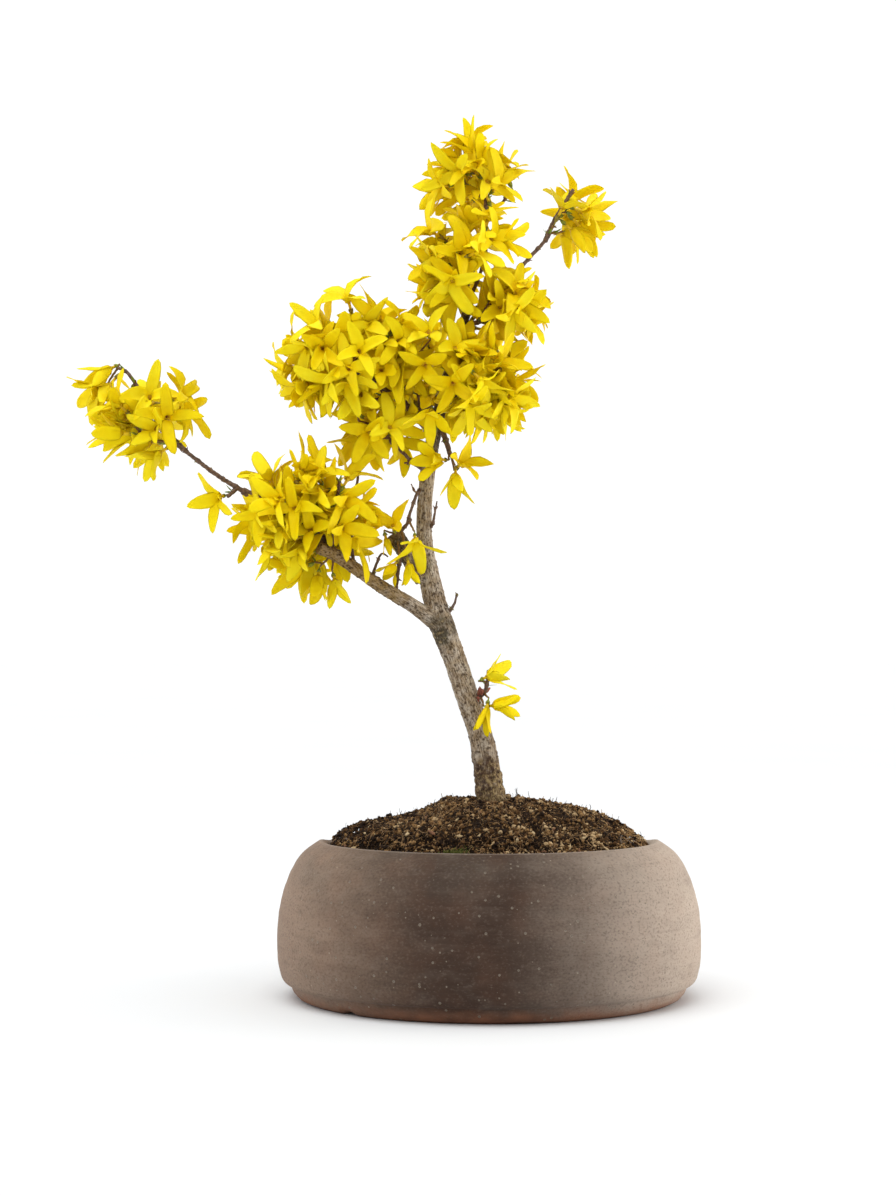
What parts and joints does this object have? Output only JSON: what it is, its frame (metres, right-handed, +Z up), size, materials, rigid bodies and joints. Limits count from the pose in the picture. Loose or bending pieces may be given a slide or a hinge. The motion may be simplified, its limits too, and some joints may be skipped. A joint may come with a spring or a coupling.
{
  "type": "forsythia bonsai",
  "caption": "Small leaning forsythia tree in yellow flower, on a mound of soil in a squat round stoneware bowl with a rounded shoulder; decorative potted plant.",
  "frame": {"origin": "middle of the flat underside of the pot", "axes": "+Z up, -Y the front that the picture shows, +X to the right of that view"},
  "size_m": [0.3022, 0.2098, 0.4318],
  "materials": {
    "stoneware": "unglazed matt, speckled",
    "soil": "crumbly",
    "bark": "rough bark",
    "twig": "smooth young bark",
    "blossom": "satin petals"
  },
  "bodies": {
    "root": {"pot": "stoneware", "soil": "soil", "trunk": "bark", "left_bough": "bark", "cut_stub": "bark", "left_branch": "twig", "top_branch": "twig", "right_branch": "twig", "inner_twig": "twig", "back_bough": "twig", "spur_blossom": "blossom", "inner_left_blossom": "blossom", "low_right_blossom": "blossom", "fork_blossom": "blossom", "trunk_shoot_blossom": "blossom", "upper_right_blossom": "blossom", "left_blossom": "blossom", "middle_left_blossom": "blossom", "middle_right_blossom": "blossom", "upper_blossom": "blossom", "top_blossom": "blossom", "far_left_blossom": "blossom", "top_right_blossom": "blossom", "rear_blossom": "blossom"}
  },
  "joints": []
}
